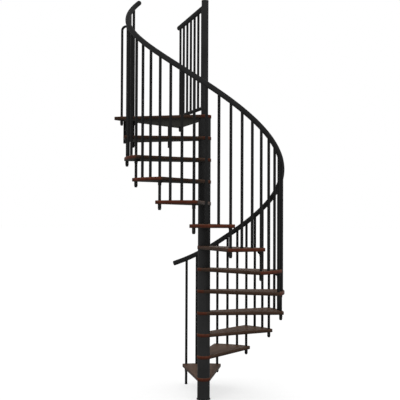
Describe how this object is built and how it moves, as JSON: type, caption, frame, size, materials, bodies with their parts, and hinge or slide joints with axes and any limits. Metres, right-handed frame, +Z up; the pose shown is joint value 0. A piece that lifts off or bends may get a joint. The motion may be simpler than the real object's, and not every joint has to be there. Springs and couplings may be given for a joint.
{
  "type": "spiral staircase",
  "caption": "Spiral staircase with wood treads round a steel column, upright steel balusters, a helical handrail and a guarded corner landing.",
  "frame": {"origin": "centre of the base flange's underside, on the floor at the foot of the column", "axes": "+Z up along the column, +Y along the first tread's centre line, away from the column"},
  "size_m": [1.7164, 1.6782, 4.0749],
  "materials": {
    "column_metal": "dark grey powder coat",
    "tread_wood": "dark stained satin",
    "baluster_metal": "black powder coat",
    "bracket_metal": "black satin",
    "rail_metal": "dark grey satin"
  },
  "bodies": {
    "root": {"base_flange": "column_metal", "centre_pole": "column_metal", "newel_cap": "column_metal", "column_spacers": "column_metal", "tread_01": "tread_wood", "tread_02": "tread_wood", "tread_03": "tread_wood", "tread_04": "tread_wood", "tread_05": "tread_wood", "tread_06": "tread_wood", "tread_07": "tread_wood", "tread_08": "tread_wood", "tread_09": "tread_wood", "tread_10": "tread_wood", "tread_11": "tread_wood", "tread_12": "tread_wood", "landing_deck": "tread_wood", "balusters_01": "baluster_metal", "balusters_02": "baluster_metal", "balusters_03": "baluster_metal", "balusters_04": "baluster_metal", "balusters_05": "baluster_metal", "balusters_06": "baluster_metal", "balusters_07": "baluster_metal", "balusters_08": "baluster_metal", "balusters_09": "baluster_metal", "balusters_10": "baluster_metal", "balusters_11": "baluster_metal", "balusters_12": "baluster_metal", "balusters_13": "baluster_metal", "guard_bars": "baluster_metal", "guard_post": "baluster_metal", "corner_tube": "baluster_metal", "leading_brackets": "bracket_metal", "trailing_brackets": "bracket_metal", "landing_brackets": "bracket_metal", "fixing_plates": "bracket_metal", "handrail_start": "rail_metal", "handrail_01": "rail_metal", "handrail_02": "rail_metal", "handrail_03": "rail_metal", "handrail_04": "rail_metal", "handrail_05": "rail_metal", "handrail_06": "rail_metal", "handrail_end_caps": "rail_metal", "guard_top_rail": "rail_metal", "guard_foot_rail": "rail_metal"}
  },
  "joints": []
}
